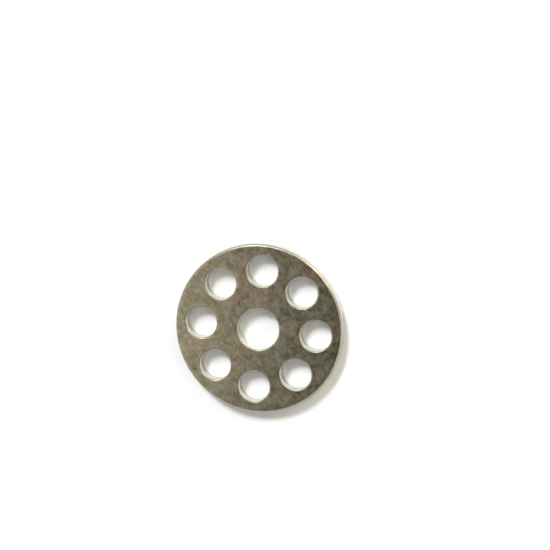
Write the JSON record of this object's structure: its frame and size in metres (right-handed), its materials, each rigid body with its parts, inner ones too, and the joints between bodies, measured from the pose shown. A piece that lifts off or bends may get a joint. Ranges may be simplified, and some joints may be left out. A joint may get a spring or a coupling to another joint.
{
  "type": "drilled washer",
  "caption": "Flat round aluminium washer with a plain centre hole and a ring of equal round holes about it, edges lightly broken.",
  "frame": {"origin": "on the washer's axis, at its underside", "axes": "+Z along the washer's axis, up from the face it lies on; +X through the centre of one hole of the ring"},
  "size_m": [0.032, 0.032, 0.0025],
  "materials": {
    "aluminium": "satin bare aluminium, faintly mottled on the faces, smoother and brighter on the edge breaks and hole walls"
  },
  "bodies": {
    "root": {"washer": "aluminium"}
  },
  "joints": []
}
